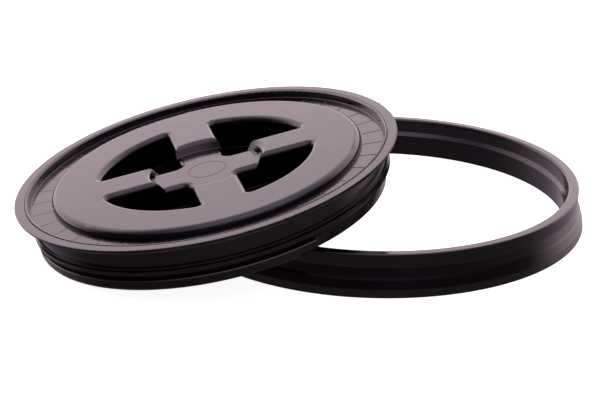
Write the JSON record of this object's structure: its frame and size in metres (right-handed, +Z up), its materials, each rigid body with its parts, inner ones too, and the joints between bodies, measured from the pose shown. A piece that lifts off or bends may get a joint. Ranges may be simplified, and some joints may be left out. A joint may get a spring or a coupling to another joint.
{
  "type": "screw lid and adapter ring for a bucket",
  "caption": "Two-piece bucket closure: a push-on adapter ring with a round screw lid leaning on it. The lid has four grip pockets around a cross.",
  "frame": {"origin": "on the table, under the middle of the pair's bounding box", "axes": "+X from the lid's centre towards the ring's centre, +Z up"},
  "size_m": [0.4324, 0.3118, 0.0891],
  "materials": {
    "black_plastic": "gloss",
    "seal_rubber": "matte"
  },
  "bodies": {
    "ring": {"adapter_ring": "black_plastic", "bucket_gasket": "seal_rubber"},
    "seal": {"lid_gasket": "seal_rubber"},
    "lid": {"lid": "black_plastic"}
  },
  "joints": [
    {"name": "lid_lift", "type": "slide", "parent": "ring", "child": "seal", "axis": [0, 0, 1], "range_m": [0, 0.12]},
    {"name": "lid_spin", "type": "hinge", "parent": "seal", "child": "lid", "pos_m": [-0.07737, 0, 0.0612], "axis": [-0.1965, 0.0225, 0.9802], "continuous": true}
  ]
}
